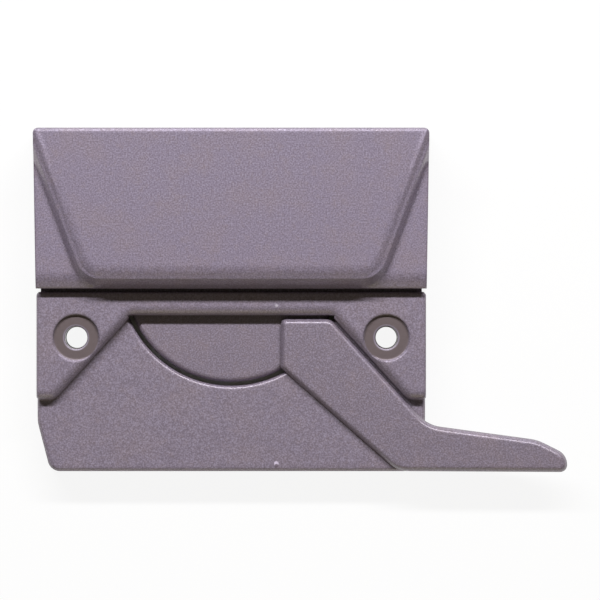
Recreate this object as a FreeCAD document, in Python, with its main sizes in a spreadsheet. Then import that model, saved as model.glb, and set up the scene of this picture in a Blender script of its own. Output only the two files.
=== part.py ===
import FreeCAD, Part
import math
import os

import Sketcher

# Sash lock for a double-hung window, modelled in millimetres.
# The origin lies midway between the two mounting screw holes, on the face that meets the sash rail.
# X runs along the lock to the tip of the lever, Y to the rear under the hood, and Z up.

SIZES = {
    # Mounting holes
    "hole_spacing": 60.325,
    "rail_hole_radius": 2.05,
    "body_hole_radius": 2.2,
    "seat_radius": 4.5,
    "seat_step": 0.6,
    # Body, seen from above
    "ear_inset": 0.6,
    "plate_inset": 0.75,
    "body_back": 8.9,
    "body_front": 26.0,
    "ear_front": 12.1,
    "ear_lap": 0.7,
    "ear_foot": 3.4865,
    "bridge_front": 4.3,
    "nose_start": 16.4,
    "nose_inset": 2.5,
    "nose_radius": 2.4,
    "nose_blend": 8.0,
    "ear_outer_radius": 2.6,
    "ear_inner_radius": 1.5,
    "body_corner_radius": 0.8,
    # Body, heights and edges
    "plate_top": 7.4,
    "ear_rise": 2.6,
    "ear_edge_radius": 1.9,
    "front_bevel": 0.7,
    "rim_bevel": 0.4,
    "body_wall": 2.0,
    "deck_thickness": 1.8,
    "screw_boss_radius": 5.2,
    "ledge_width": 2.5,
    "ledge_cover": 0.7,
    "ledge_end_inset": 0.8,
    # Window and pivot
    "pivot_back": 12.2,
    "window_radius": 21.6,
    "window_wall": 1.7,
    "window_bevel": 0.65,
    "disc_gap": 0.8,
    "disc_drop": 0.5,
    "disc_thickness": 2.4,
    "disc_bevel": 0.9,
    "bridge_clearance": 0.4,
    # Hood
    "hood_gap": 0.63,
    "hood_depth": 31.2,
    "hood_half_width": 38.45,
    "hood_front_inset": 0.5,
    "hollow_corner_radius": 1.0,
    "hood_lift": 0.5,
    "lip_drop": 1.1,
    "lip_radius": 0.5,
    "wing_top": 13.2,
    "wing_slope_run": 2.2,
    "wing_round": 5.0,
    "brow_rise": 1.8,
    "crown_rise": 0.9,
    "crease_setback": 1.85,
    "crease_inset": 9.75,
    "crease_side_end": 37.6,
    "crease_corner_radius": 5.0,
    "brow_drop": 3.4,
    "brow_front_lean": 33.5,
    "brow_side_lean": 31.0,
    "ledge_front_width": 0.15,
    "ledge_side_width": 0.45,
    "shoulder_front_radius": 4.25,
    "shoulder_side_radius": 2.67,
    "hood_back_edge": 1.1,
    "hood_wall": 1.6,
    "hood_boss_radius": 3.0,
    "hood_boss_inset": 9.45,
    "hood_boss_play": 0.3,
    # Lever
    "arm_clearance": 0.3,
    "arm_thickness": 1.25,
    "arm_slope": 28.0,
    "arm_bevel": 0.3,
    "block_left": 9.6,
    "block_gap": 0.6,
    "block_left_radius": 1.2,
    "block_right_radius": 2.5,
    "ear_gap": 0.4,
    "handle_start_back": 9.0,
    "handle_blend": 6.5,
    "handle_bend_left": 5.8,
    "handle_bend_rise": 2.9,
    "handle_bend_radius": 9.0,
    "tip_x": 65.35,
    "tip_overlap": 1.08,
    "tip_top_radius": 3.1,
    "tip_low_radius": 1.4,
    "tip_proud": 0.2,
    "elbow_left": 5.9918,
    "elbow_radius": 6.0,
    "heel_drop": 5.92,
    "heel_radius": 1.2,
    # Steel inside
    "base_thickness": 1.6,
    "base_inset": 3.45,
    "base_front": 23.4,
    "base_back": 18.5,
    "base_corner_radius": 4.0,
    "base_play": 0.15,
    "thrust_thickness": 0.4,
    "thrust_radius": 6.5,
    "stud_radius": 2.5,
    "stud_foot_radius": 2.0,
    "stud_head_radius": 3.6,
    "stud_head_height": 0.9,
    "turning_play": 0.05,
    "recess_radius": 4.6,
    "recess_depth": 1.6,
    "spring_height": 0.5,
    "spring_stock": 0.4,
    "spring_play": 0.2,
    "key_radius": 5.5,
    "key_flat": 4.3,
    "key_play": 0.06,
    "cam_hub_radius": 7.5,
    "cam_reach": 18.6,
    "cam_root": 4.0,
    "cam_tip_x": 7.5,
    "cam_mouth_radius": 12.9,
    "cam_mouth_shift": 0.9,
    "cam_mouth_right": 9.0,
    "detent_depth": 0.5,
    "detent_half_width": 3.0,
    "leaf_stock": 0.5,
    "leaf_play": 0.15,
    "leaf_tail": 5.8,
    "leaf_length": 19.0,
    "leaf_top_gap": 0.5,
    "leaf_foot": 6.5,
    "leaf_foot_width": 6.0,
    "rivet_radius": 1.2,
    "rivet_head_radius": 2.1,
    "rivet_head_height": 0.9,
    # Small screws from below
    "screw_radius": 1.45,
    "screw_head_radius": 2.75,
    "hood_screw_length": 6.0,
    "body_screw_end_gap": 0.5,
    "body_boss_radius": 3.0,
    "body_boss_inset": 14.45,
    "body_boss_drop": 17.5,
}


class Size:
    """A number that also carries the sheet formula behind it."""

    def __init__(self, value, formula):
        self.value = value
        self.formula = formula

    @staticmethod
    def of(thing):
        return thing if isinstance(thing, Size) else Size(float(thing), repr(float(thing)))

    def join(self, other, sign, value):
        return Size(value, f"({self.formula} {sign} {other.formula})")

    def __add__(self, other):
        other = Size.of(other)
        return self.join(other, "+", self.value + other.value)

    def __radd__(self, other):
        return Size.of(other) + self

    def __sub__(self, other):
        other = Size.of(other)
        return self.join(other, "-", self.value - other.value)

    def __rsub__(self, other):
        return Size.of(other) - self

    def __mul__(self, other):
        other = Size.of(other)
        return self.join(other, "*", self.value * other.value)

    def __rmul__(self, other):
        return Size.of(other) * self

    def __truediv__(self, other):
        other = Size.of(other)
        return self.join(other, "/", self.value / other.value)

    def __neg__(self):
        return Size(-self.value, f"(0 - {self.formula})")

    def root(self):
        return Size(math.sqrt(self.value), f"sqrt({self.formula})")

    def tangent(self):
        return Size(math.tan(math.radians(self.value)), f"tan({self.formula})")

    def angle(self):
        """The angle in degrees whose tangent this is."""
        return Size(math.degrees(math.atan(self.value)), f"(atan({self.formula}) / 1 deg)")


class Sizes:
    """The driving dimensions, kept in a spreadsheet and read back by name."""

    def __init__(self, doc, values):
        self.sheet = doc.addObject("Spreadsheet::Sheet", "dims")
        for row, (name, number) in enumerate(values.items(), 1):
            self.sheet.set(f"A{row}", name)
            self.sheet.set(f"B{row}", str(number))
            self.sheet.setAlias(f"B{row}", name)
        doc.recompute()

    def __getattr__(self, name):
        return Size(float(self.sheet.get(name)), f"dims.{name}")


def bind(thing, path, size):
    """Give a property its number and tie it to the sheet."""
    size = Size.of(size)
    if "." not in path:
        setattr(thing, path, size.value)
    thing.setExpression(path, size.formula)


def pin_point(sketch, geometry, vertex, x, y):
    """Hold a sketch point at x, y measured from the sketch origin."""
    for kind, size in (("DistanceX", x), ("DistanceY", y)):
        size = Size.of(size)
        index = sketch.addConstraint(
            Sketcher.Constraint(kind, -1, 1, geometry, vertex, size.value))
        sketch.setExpression(f"Constraints[{index}]", size.formula)


def set_radius(sketch, geometry, size):
    """Tie the radius of an arc or circle to the sheet."""
    size = Size.of(size)
    index = sketch.addConstraint(Sketcher.Constraint("Radius", geometry, size.value))
    sketch.setExpression(f"Constraints[{index}]", size.formula)


def draw_circle(sketch, x, y, radius):
    """A circle of the given centre and radius."""
    centre = FreeCAD.Vector(Size.of(x).value, Size.of(y).value, 0)
    circle = Part.Circle(centre, FreeCAD.Vector(0, 0, 1), Size.of(radius).value)
    geometry = sketch.addGeometry(circle, False)
    pin_point(sketch, geometry, 3, x, y)
    set_radius(sketch, geometry, radius)
    return geometry


def draw_outline(sketch, corners):
    """A closed outline of straight sides, each corner sharp or rounded: (x, y, radius or None)."""
    count = len(corners)
    points = [FreeCAD.Vector(Size.of(x).value, Size.of(y).value, 0) for x, y, radius in corners]
    ways = [(points[(i + 1) % count] - points[i]).normalize() for i in range(count)]
    trims = []
    for i, (x, y, radius) in enumerate(corners):
        half_turn = ways[i - 1].getAngle(ways[i]) / 2
        trims.append(Size.of(radius).value * math.tan(half_turn) if radius else 0.0)
    lines = []
    for i in range(count):
        start = points[i] + ways[i] * trims[i]
        end = points[(i + 1) % count] - ways[i] * trims[(i + 1) % count]
        lines.append(sketch.addGeometry(Part.LineSegment(start, end), False))
    for i, (x, y, radius) in enumerate(corners):
        before, after = lines[i - 1], lines[i]
        if not radius:
            sketch.addConstraint(Sketcher.Constraint("Coincident", before, 2, after, 1))
            pin_point(sketch, after, 1, x, y)
            continue
        inward = FreeCAD.Vector(-ways[i].y, ways[i].x, 0)
        left_turn = ways[i - 1].cross(ways[i]).z > 0
        reach = Size.of(radius).value
        start = points[i] - ways[i - 1] * trims[i]
        end = points[i] + ways[i] * trims[i]
        centre = end + inward * (reach if left_turn else -reach)
        first, last = (start, end) if left_turn else (end, start)
        angles = [math.atan2(p.y - centre.y, p.x - centre.x) for p in (first, last)]
        circle = Part.Circle(centre, FreeCAD.Vector(0, 0, 1), reach)
        arc = sketch.addGeometry(Part.ArcOfCircle(circle, angles[0], angles[1]), False)
        arc_start, arc_end = (1, 2) if left_turn else (2, 1)
        corner = sketch.addGeometry(Part.Point(points[i]), True)
        pin_point(sketch, corner, 1, x, y)
        sketch.addConstraint([
            Sketcher.Constraint("Tangent", before, 2, arc, arc_start),
            Sketcher.Constraint("Tangent", after, 1, arc, arc_end),
            Sketcher.Constraint("PointOnObject", corner, 1, before),
            Sketcher.Constraint("PointOnObject", corner, 1, after),
        ])
        set_radius(sketch, arc, radius)


def draw_box(sketch, x_low, y_low, x_high, y_high):
    """A plain rectangle."""
    draw_outline(sketch, [(x_low, y_low, None), (x_high, y_low, None),
                          (x_high, y_high, None), (x_low, y_high, None)])


class Piece:
    """One rigid piece as a body of sketches and features."""

    def __init__(self, doc, label):
        self.doc = doc
        self.body = doc.addObject("PartDesign::Body", label)
        self.body.Label = label

    def sketch(self, offset, name, plane="XY_Plane"):
        """An empty sketch parallel to a plane of the frame, set off along its normal."""
        sketch = self.body.newObject("Sketcher::SketchObject", name)
        planes = [item for item in self.body.Origin.OriginFeatures if item.Role == plane]
        sketch.AttachmentSupport = (planes[0], [""])
        sketch.MapMode = "FlatFace"
        offset = Size.of(offset)
        sketch.AttachmentOffset = FreeCAD.Placement(
            FreeCAD.Vector(0, 0, offset.value), FreeCAD.Rotation())
        sketch.setExpression("AttachmentOffset.Base.z", offset.formula)
        return sketch

    def volume(self):
        """Volume of the piece so far."""
        self.doc.recompute()
        return self.body.Shape.Volume if self.body.Tip else 0.0

    def pad(self, sketch, name, length, down=False, slope=None):
        """Add a prism on a sketch, upwards unless told otherwise; slope leans its walls."""
        before = self.volume()
        pad = self.body.newObject("PartDesign::Pad", name)
        pad.Profile = sketch
        pad.Reversed = down
        bind(pad, "Length", length)
        if slope is not None:
            bind(pad, "TaperAngle", slope)
        after = self.volume()
        if after <= before:
            raise ValueError(f"{name} adds nothing")
        return pad

    def cut(self, sketch, name, length, down=False, slope=None):
        """Take a prism away, upwards from the sketch unless told otherwise."""
        before = self.volume()
        pocket = self.body.newObject("PartDesign::Pocket", name)
        pocket.Profile = sketch
        pocket.Reversed = not down
        bind(pocket, "Length", length)
        if slope is not None:
            bind(pocket, "TaperAngle", slope)
        after = self.volume()
        if after >= before:
            raise ValueError(f"{name} cuts nothing")
        return pocket

    def loft(self, sketches, name):
        """Add a solid with straight walls from each outline to the next."""
        before = self.volume()
        loft = self.body.newObject("PartDesign::AdditiveLoft", name)
        loft.Profile = sketches[0]
        loft.Sections = sketches[1:]
        loft.Ruled = True
        after = self.volume()
        if after <= before:
            raise ValueError(f"{name} adds nothing")
        return loft

    def edges(self, kind, name, path, size, chosen):
        """Soften the edges that the test picks."""
        self.doc.recompute()
        carrier = self.body.Tip
        names = [f"Edge{i}" for i, edge in enumerate(self.body.Shape.Edges, 1) if chosen(edge)]
        if not names:
            raise ValueError(f"{name} finds no edge")
        feature = self.body.newObject(kind, name)
        feature.Base = (carrier, names)
        bind(feature, path, size)
        self.doc.recompute()
        if not feature.isValid():
            raise ValueError(f"{name} does not fit")
        return feature

    def round(self, name, radius, chosen):
        """Fillet the edges that the test picks."""
        return self.edges("PartDesign::Fillet", name, "Radius", radius, chosen)

    def bevel(self, name, size, chosen):
        """Chamfer the edges that the test picks."""
        return self.edges("PartDesign::Chamfer", name, "Size", size, chosen)


def middle(edge):
    """The point halfway along an edge."""
    return edge.valueAt((edge.FirstParameter + edge.LastParameter) / 2)


def level(edge, height, slack=0.01):
    """Whether an edge lies at one height."""
    box = edge.BoundBox
    return abs(box.ZMin - height.value) < slack and abs(box.ZMax - height.value) < slack


def has_radius(edge, radius, slack=0.01):
    """Whether an edge is an arc of the given radius."""
    curve = edge.Curve
    return curve.TypeId == "Part::GeomCircle" and abs(curve.Radius - radius.value) < slack


doc = FreeCAD.newDocument("sash_lock")
dims = Sizes(doc, SIZES)


# Levels
ear_top = dims.plate_top + dims.ear_rise
disc_top = dims.plate_top - dims.disc_drop
disc_bottom = disc_top - dims.disc_thickness
bridge_bottom = disc_top + dims.bridge_clearance
ledge_top = bridge_bottom + dims.ledge_cover
arm_bottom = dims.plate_top + dims.arm_clearance
crease_height = dims.wing_top + dims.brow_rise
hood_top = crease_height + dims.crown_rise
disc_radius = dims.window_radius - dims.disc_gap
cavity_top = dims.plate_top - dims.deck_thickness
seat_floor = ear_top - dims.seat_step

# Widths and places seen from above
hood_front = dims.body_back + dims.hood_gap
hood_back = hood_front + dims.hood_depth
hood_front_half = dims.hood_half_width - dims.hood_front_inset
ear_half = dims.hood_half_width - dims.ear_inset
plate_half = dims.hood_half_width - dims.plate_inset
nose_half = plate_half - dims.nose_inset
base_half = dims.hood_half_width - dims.base_inset
crease_front = hood_front + dims.crease_setback
crease_half = dims.hood_half_width - dims.crease_inset
bridge_to_pivot = dims.pivot_back - dims.bridge_front
window_half = (dims.window_radius * dims.window_radius - bridge_to_pivot * bridge_to_pivot).root()
ear_slant_start = window_half - dims.ear_lap
ear_slant_end = ear_half - dims.ear_foot
ear_slant_run = ear_slant_end - ear_slant_start
hole_x = dims.hole_spacing / 2
hood_boss_x = dims.hood_half_width - dims.hood_boss_inset
hood_boss_y = dims.body_back + dims.ledge_width + dims.hood_boss_play + dims.hood_boss_radius
body_boss_x = dims.hood_half_width - dims.body_boss_inset
screw_hole_radius = dims.screw_radius + dims.turning_play
leaf_x = -(dims.cam_hub_radius + dims.leaf_play)
leaf_front = dims.pivot_back + dims.leaf_tail - dims.leaf_length
rivet_x = leaf_x - dims.leaf_stock - dims.leaf_foot / 2
rivet_y = leaf_front + dims.leaf_foot_width / 2

FAR = Size.of(90)
HAIR = 0.05


def mirrored_pairs(x):
    """The same place on the left and on the right."""
    return ((-x, "left"), (x, "right"))


screws = [(x, hood_boss_y, dims.hood_screw_length, f"hood_screw_{side}")
          for x, side in mirrored_pairs(hood_boss_x)]
body_screw_length = cavity_top - dims.base_thickness - dims.body_screw_end_gap
screws += [(x, -dims.body_boss_drop, body_screw_length, f"body_screw_{side}")
           for x, side in mirrored_pairs(body_boss_x)]


def build_lock_body():
    """The lower casting: ears, bridge, front plate, window and the hollow underneath."""
    piece = Piece(doc, "lock_body")
    plate_outline = [
        (plate_half, dims.body_back, dims.body_corner_radius),
        (-plate_half, dims.body_back, dims.body_corner_radius),
        (-plate_half, -dims.nose_start, dims.nose_blend),
        (-nose_half, -dims.body_front, dims.nose_radius),
        (nose_half, -dims.body_front, dims.nose_radius),
        (plate_half, -dims.nose_start, dims.nose_blend),
    ]
    sketch = piece.sketch(0, "plate_sketch")
    draw_outline(sketch, plate_outline)
    piece.pad(sketch, "plate", dims.plate_top)
    brim = dims.window_radius + dims.window_bevel
    sketch = piece.sketch(dims.plate_top, "window_edge_sketch")
    draw_circle(sketch, 0, dims.pivot_back, brim)
    piece.cut(sketch, "window_edge", dims.window_bevel, down=True, slope=Size.of(-45))
    sketch = piece.sketch(0, "ear_sketch")
    draw_outline(sketch, [
        (ear_half, dims.body_back, dims.body_corner_radius),
        (-ear_half, dims.body_back, dims.body_corner_radius),
        (-ear_half, -dims.ear_front, None),
        (-ear_slant_end, -dims.ear_front, dims.ear_outer_radius),
        (-ear_slant_start, dims.bridge_front, dims.ear_inner_radius),
        (ear_slant_start, dims.bridge_front, dims.ear_inner_radius),
        (ear_slant_end, -dims.ear_front, dims.ear_outer_radius),
        (ear_half, -dims.ear_front, None),
    ])
    piece.pad(sketch, "ears", ear_top)
    side, back = ear_half.value - HAIR, dims.body_back.value - HAIR
    piece.round("ear_edges", dims.ear_edge_radius,
                lambda edge: level(edge, ear_top) and abs(middle(edge).x) < side
                and middle(edge).y < dims.body_back.value - dims.body_corner_radius.value)
    piece.bevel("outer_edges", dims.rim_bevel,
                lambda edge: level(edge, ear_top)
                and (abs(middle(edge).x) > side or middle(edge).y > back))
    front = -dims.ear_front.value - HAIR
    piece.bevel("front_edges", dims.front_bevel,
                lambda edge: level(edge, dims.plate_top) and middle(edge).y < front
                and not has_radius(edge, brim))
    wall = dims.body_wall
    sketch = piece.sketch(0, "hollow_sketch")
    draw_outline(sketch, [
        (plate_half - wall, dims.body_back - wall, dims.nose_radius),
        (wall - plate_half, dims.body_back - wall, dims.nose_radius),
        (wall - plate_half, -dims.nose_start, dims.nose_blend),
        (wall - nose_half, wall - dims.body_front, dims.nose_radius),
        (nose_half - wall, wall - dims.body_front, dims.nose_radius),
        (plate_half - wall, -dims.nose_start, dims.nose_blend),
    ])
    for x, side in mirrored_pairs(hole_x):
        draw_circle(sketch, x, 0, dims.screw_boss_radius)
    for x, side in mirrored_pairs(body_boss_x):
        draw_circle(sketch, x, -dims.body_boss_drop, dims.body_boss_radius)
    piece.cut(sketch, "hollow", cavity_top)
    sketch = piece.sketch(dims.base_thickness, "window_wall_sketch")
    draw_circle(sketch, 0, dims.pivot_back, dims.window_radius + dims.window_wall)
    piece.pad(sketch, "window_wall", cavity_top - dims.base_thickness + dims.deck_thickness / 2)
    sketch = piece.sketch(0, "back_trim_sketch")
    draw_box(sketch, -FAR, dims.body_back, FAR, FAR)
    piece.cut(sketch, "back_trim", dims.plate_top)
    sketch = piece.sketch(0, "ledge_sketch")
    ledge_end = ear_half - dims.ledge_end_inset
    draw_box(sketch, -ledge_end, dims.body_back - wall, ledge_end, dims.body_back + dims.ledge_width)
    piece.pad(sketch, "ledge", ledge_top)
    sketch = piece.sketch(0, "disc_room_sketch")
    draw_circle(sketch, 0, dims.pivot_back, dims.window_radius)
    piece.cut(sketch, "disc_room", bridge_bottom)
    sketch = piece.sketch(0, "window_sketch")
    draw_window(sketch)
    piece.cut(sketch, "window", ear_top)
    sketch = piece.sketch(0, "base_room_sketch")
    draw_base_outline(sketch, dims.base_play)
    piece.cut(sketch, "base_room", dims.base_thickness)
    sketch = piece.sketch(0, "mount_hole_sketch")
    for x, side in mirrored_pairs(hole_x):
        draw_circle(sketch, x, 0, dims.body_hole_radius)
    piece.cut(sketch, "mount_holes", ear_top)
    sketch = piece.sketch(seat_floor, "seat_sketch")
    for x, side in mirrored_pairs(hole_x):
        draw_circle(sketch, x, 0, dims.seat_radius)
    piece.cut(sketch, "seats", dims.seat_step)
    sketch = piece.sketch(0, "pilot_sketch")
    for x, side in mirrored_pairs(body_boss_x):
        draw_circle(sketch, x, -dims.body_boss_drop, screw_hole_radius)
    piece.cut(sketch, "pilots", cavity_top)
    return piece


def draw_window(sketch):
    """The half-moon: an arc about the pivot closed by the front edge of the bridge."""
    rise, half = bridge_to_pivot, window_half
    centre = FreeCAD.Vector(0, dims.pivot_back.value, 0)
    circle = Part.Circle(centre, FreeCAD.Vector(0, 0, 1), dims.window_radius.value)
    start = math.atan2(-rise.value, -half.value)
    arc = sketch.addGeometry(Part.ArcOfCircle(circle, start, math.atan2(-rise.value, half.value)), False)
    left = FreeCAD.Vector(-half.value, dims.bridge_front.value, 0)
    right = FreeCAD.Vector(half.value, dims.bridge_front.value, 0)
    chord = sketch.addGeometry(Part.LineSegment(right, left), False)
    pin_point(sketch, arc, 3, 0, dims.pivot_back)
    set_radius(sketch, arc, dims.window_radius)
    sketch.addConstraint([
        Sketcher.Constraint("Coincident", arc, 2, chord, 1),
        Sketcher.Constraint("Coincident", arc, 1, chord, 2),
        Sketcher.Constraint("Horizontal", chord),
    ])
    index = sketch.addConstraint(
        Sketcher.Constraint("DistanceY", -1, 1, chord, 1, dims.bridge_front.value))
    sketch.setExpression(f"Constraints[{index}]", dims.bridge_front.formula)


def draw_base_outline(sketch, play):
    """The outline of the base plate, grown by a play on every side."""
    half, radius = base_half + play, dims.base_corner_radius
    front, back = -(dims.base_front + play), dims.base_back + play
    draw_outline(sketch, [(half, back, radius), (-half, back, radius),
                          (-half, front, radius), (half, front, radius)])


def arc_reach(radius, depth):
    """How far out a round has come at a depth under its top."""
    return (depth * (2 * radius - depth)).root()


def crease_outline(front, front_half, back, run, radius):
    """A trapezoid that widens to the rear by run for each millimetre, its front corners round."""
    back_half = front_half + run * (back - front)
    return [(back_half, back, None), (-back_half, back, None),
            (-front_half, front, radius), (front_half, front, radius)]


def build_hood():
    """The upper casting: a cap with two lower wings and a raised trapezoid."""
    piece = Piece(doc, "hood")
    spread = dims.wing_round
    outer, back = dims.hood_half_width + spread, hood_back + spread
    sketch = piece.sketch(-outer, "cap_profile", "YZ_Plane")
    draw_outline(sketch, [
        (hood_front, dims.hood_lift, None),
        (back, dims.hood_lift, None),
        (back, dims.wing_top, None),
        (hood_front + dims.wing_slope_run, dims.wing_top, dims.wing_round),
        (hood_front, dims.wing_top - dims.lip_drop, dims.lip_radius),
    ])
    piece.pad(sketch, "cap", 2 * outer)
    run = (dims.hood_half_width - crease_half) / (dims.crease_side_end - crease_front)
    slant = (run * run + 1).root()

    def outline(name, height, forward, sideways):
        """The crease's outline at a height, its front moved forward and its sides outward."""
        sketch = piece.sketch(height, name)
        half = crease_half + sideways * slant - run * forward
        draw_outline(sketch, crease_outline(crease_front - forward, half, back, run,
                                            dims.crease_corner_radius + sideways))
        return sketch

    foot = outline("brow_foot", crease_height - dims.brow_drop,
                   dims.brow_drop * dims.brow_front_lean.tangent(),
                   dims.brow_drop * dims.brow_side_lean.tangent())
    crease = outline("brow_crease", crease_height, Size.of(0), Size.of(0))
    piece.loft([foot, crease], "brow")
    tiers = []
    for name, share in (("foot", 1.0), ("middle", 0.5), ("brink", 0.17), ("top", 0.0)):
        reach = [arc_reach(radius, dims.crown_rise) - arc_reach(radius, share * dims.crown_rise)
                 for radius in (dims.shoulder_front_radius, dims.shoulder_side_radius)]
        tiers.append(outline(f"crown_{name}", hood_top - share * dims.crown_rise,
                             -(dims.ledge_front_width + reach[0]),
                             -(dims.ledge_side_width + reach[1])))
    piece.loft(tiers, "crown")
    sketch = piece.sketch(0, "trim_sketch")
    draw_box(sketch, -FAR, -FAR, FAR, FAR)
    draw_outline(sketch, [
        (dims.hood_half_width, hood_back, dims.hood_back_edge),
        (-dims.hood_half_width, hood_back, dims.hood_back_edge),
        (-hood_front_half, hood_front, None),
        (hood_front_half, hood_front, None),
    ])
    piece.cut(sketch, "trim", hood_top + spread)
    sketch = piece.sketch(-outer, "back_edge_profile", "YZ_Plane")
    draw_box(sketch, -FAR, -FAR, FAR, FAR)
    draw_outline(sketch, [
        (hood_back, hood_top, dims.hood_back_edge),
        (-dims.body_front, hood_top, None),
        (-dims.body_front, -hood_top, None),
        (hood_back, -hood_top, None),
    ])
    piece.cut(sketch, "back_edge", 2 * outer)
    wall = dims.hood_wall
    sketch = piece.sketch(0, "hollow_sketch")
    draw_outline(sketch, [
        (dims.hood_half_width - wall, hood_back - wall, dims.hollow_corner_radius),
        (wall - dims.hood_half_width, hood_back - wall, dims.hollow_corner_radius),
        (wall - hood_front_half, hood_front + wall, dims.hollow_corner_radius),
        (hood_front_half - wall, hood_front + wall, dims.hollow_corner_radius),
    ])
    for x, side in mirrored_pairs(hood_boss_x):
        draw_circle(sketch, x, hood_boss_y, dims.hood_boss_radius)
    ceiling = dims.wing_top - wall
    piece.cut(sketch, "hollow", ceiling)
    inset = 2 * wall
    sketch = piece.sketch(ceiling, "crown_hollow_sketch")
    draw_outline(sketch, crease_outline(crease_front + inset, crease_half - inset,
                                        hood_back - wall, run, dims.hollow_corner_radius))
    piece.cut(sketch, "crown_hollow", hood_top - dims.wing_top)
    sketch = piece.sketch(0, "ledge_room_sketch")
    ledge_end = ear_half - dims.ledge_end_inset + dims.base_play
    draw_box(sketch, -ledge_end, dims.body_back,
             ledge_end, dims.body_back + dims.ledge_width + dims.base_play)
    piece.cut(sketch, "ledge_room", ledge_top)
    sketch = piece.sketch(0, "base_room_sketch")
    draw_base_outline(sketch, dims.base_play)
    piece.cut(sketch, "base_room", dims.base_thickness)
    sketch = piece.sketch(0, "pilot_sketch")
    for x, side in mirrored_pairs(hood_boss_x):
        draw_circle(sketch, x, hood_boss_y, screw_hole_radius)
    piece.cut(sketch, "pilots", dims.base_thickness + dims.hood_screw_length + dims.screw_radius)
    return piece


def lever_outline():
    """The lever seen from above, from the block's rear corner clockwise to the heel."""
    run = ear_slant_run
    drop = dims.bridge_front + dims.ear_front
    slant = (run * run + drop * drop).root()
    side = dims.ear_gap * drop / slant
    down = dims.ear_gap * run / slant
    front = dims.body_front
    block_back = dims.bridge_front - dims.block_gap
    block_right = ear_slant_start - side + run * (dims.block_gap - down) / drop
    handle_start_y = dims.handle_start_back - front
    handle_start = ear_slant_start - side + run * (dims.bridge_front - down - handle_start_y) / drop
    tip_low = -(front + dims.tip_proud)
    tip_high = tip_low + dims.tip_top_radius + dims.tip_low_radius - dims.tip_overlap
    return [
        (dims.block_left, block_back, dims.block_left_radius),
        (block_right, block_back, dims.block_right_radius),
        (handle_start, handle_start_y, dims.handle_blend),
        (dims.tip_x - dims.handle_bend_left, tip_high + dims.handle_bend_rise, dims.handle_bend_radius),
        (dims.tip_x, tip_high, dims.tip_top_radius),
        (dims.tip_x, tip_low, dims.tip_low_radius),
        (handle_start - dims.elbow_left, -front, dims.elbow_radius),
        (dims.block_left, -dims.heel_drop, dims.heel_radius),
    ]


def draw_key(sketch, play):
    """A circle about the pivot with a flat on its left and right, grown by a play."""
    radius, flat = dims.key_radius + play, dims.key_flat + play
    half = (radius * radius - flat * flat).root()
    pivot = dims.pivot_back
    centre = FreeCAD.Vector(0, pivot.value, 0)
    circle = Part.Circle(centre, FreeCAD.Vector(0, 0, 1), radius.value)
    lean = math.atan2(half.value, flat.value)
    back = sketch.addGeometry(Part.ArcOfCircle(circle, lean, math.pi - lean), False)
    front = sketch.addGeometry(Part.ArcOfCircle(circle, math.pi + lean, 2 * math.pi - lean), False)
    ends = [FreeCAD.Vector(x * flat.value, pivot.value + y * half.value, 0)
            for x, y in ((-1, 1), (-1, -1), (1, -1), (1, 1))]
    left = sketch.addGeometry(Part.LineSegment(ends[0], ends[1]), False)
    right = sketch.addGeometry(Part.LineSegment(ends[2], ends[3]), False)
    for arc in (back, front):
        pin_point(sketch, arc, 3, 0, pivot)
        set_radius(sketch, arc, radius)
    sketch.addConstraint([
        Sketcher.Constraint("Coincident", back, 2, left, 1),
        Sketcher.Constraint("Coincident", left, 2, front, 1),
        Sketcher.Constraint("Coincident", front, 2, right, 1),
        Sketcher.Constraint("Coincident", right, 2, back, 1),
        Sketcher.Constraint("Vertical", left),
        Sketcher.Constraint("Vertical", right),
    ])
    for line, x in ((left, -flat), (right, flat)):
        index = sketch.addConstraint(Sketcher.Constraint("DistanceX", -1, 1, line, 1, x.value))
        sketch.setExpression(f"Constraints[{index}]", x.formula)


def build_lever():
    """The lever casting: disc in the window, block, slanted arm, handle, and key underneath."""
    piece = Piece(doc, "lever")
    pivot = dims.pivot_back
    sketch = piece.sketch(disc_bottom, "disc_sketch")
    draw_circle(sketch, 0, pivot, disc_radius)
    piece.pad(sketch, "disc", dims.disc_thickness)
    piece.bevel("disc_edge", dims.disc_bevel, lambda edge: level(edge, disc_top))
    block_bottom = disc_top - dims.disc_bevel
    sketch = piece.sketch(block_bottom, "block_sketch")
    draw_outline(sketch, lever_outline())
    piece.pad(sketch, "block", arm_bottom - block_bottom)
    sketch = piece.sketch(0, "underside_sketch")
    draw_circle(sketch, 0, pivot, disc_radius)
    draw_circle(sketch, 0, pivot, FAR)
    piece.cut(sketch, "underside", arm_bottom)
    sketch = piece.sketch(arm_bottom, "arm_sketch")
    draw_outline(sketch, lever_outline())
    piece.pad(sketch, "arm", dims.arm_thickness, slope=-dims.arm_slope)
    arm_top = arm_bottom + dims.arm_thickness
    piece.bevel("arm_edge", dims.arm_bevel, lambda edge: level(edge, arm_top))
    key_length = disc_bottom - dims.base_thickness - dims.thrust_thickness - dims.key_play
    sketch = piece.sketch(disc_bottom, "key_sketch")
    draw_key(sketch, Size.of(0))
    piece.pad(sketch, "key", key_length, down=True)
    sketch = piece.sketch(0, "bore_sketch")
    draw_circle(sketch, 0, pivot, dims.stud_radius + dims.turning_play)
    piece.cut(sketch, "bore", disc_top)
    sketch = piece.sketch(disc_top, "recess_sketch")
    draw_circle(sketch, 0, pivot, dims.recess_radius)
    piece.cut(sketch, "recess", dims.recess_depth, down=True)
    return piece


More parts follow.
